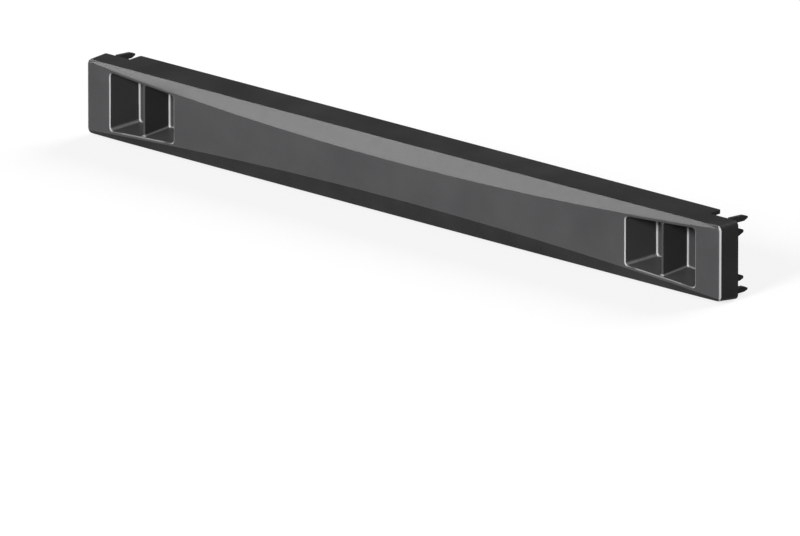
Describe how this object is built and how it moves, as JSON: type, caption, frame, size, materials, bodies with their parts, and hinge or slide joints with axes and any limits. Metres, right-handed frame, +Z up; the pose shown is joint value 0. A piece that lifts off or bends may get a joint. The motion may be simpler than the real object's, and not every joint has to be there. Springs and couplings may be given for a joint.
{
  "type": "rack blanking panel",
  "caption": "Snap-in blanking panel for a 19-inch rack, one unit high, moulded in plastic with a bowed front, sloping facets and two-cell finger grips.",
  "frame": {"origin": "middle of the panel's width and height, in the plane of the ears' backs, where they lie on the rack's two rails", "axes": "+X across the rack towards the right-hand end seen from the front, +Y back into the rack along the snap prongs, +Z up"},
  "size_m": [0.4826, 0.0313, 0.0442],
  "materials": {
    "moulded_plastic": "fine satin mould texture"
  },
  "bodies": {
    "root": {"blanking_panel": "moulded_plastic"}
  },
  "joints": []
}
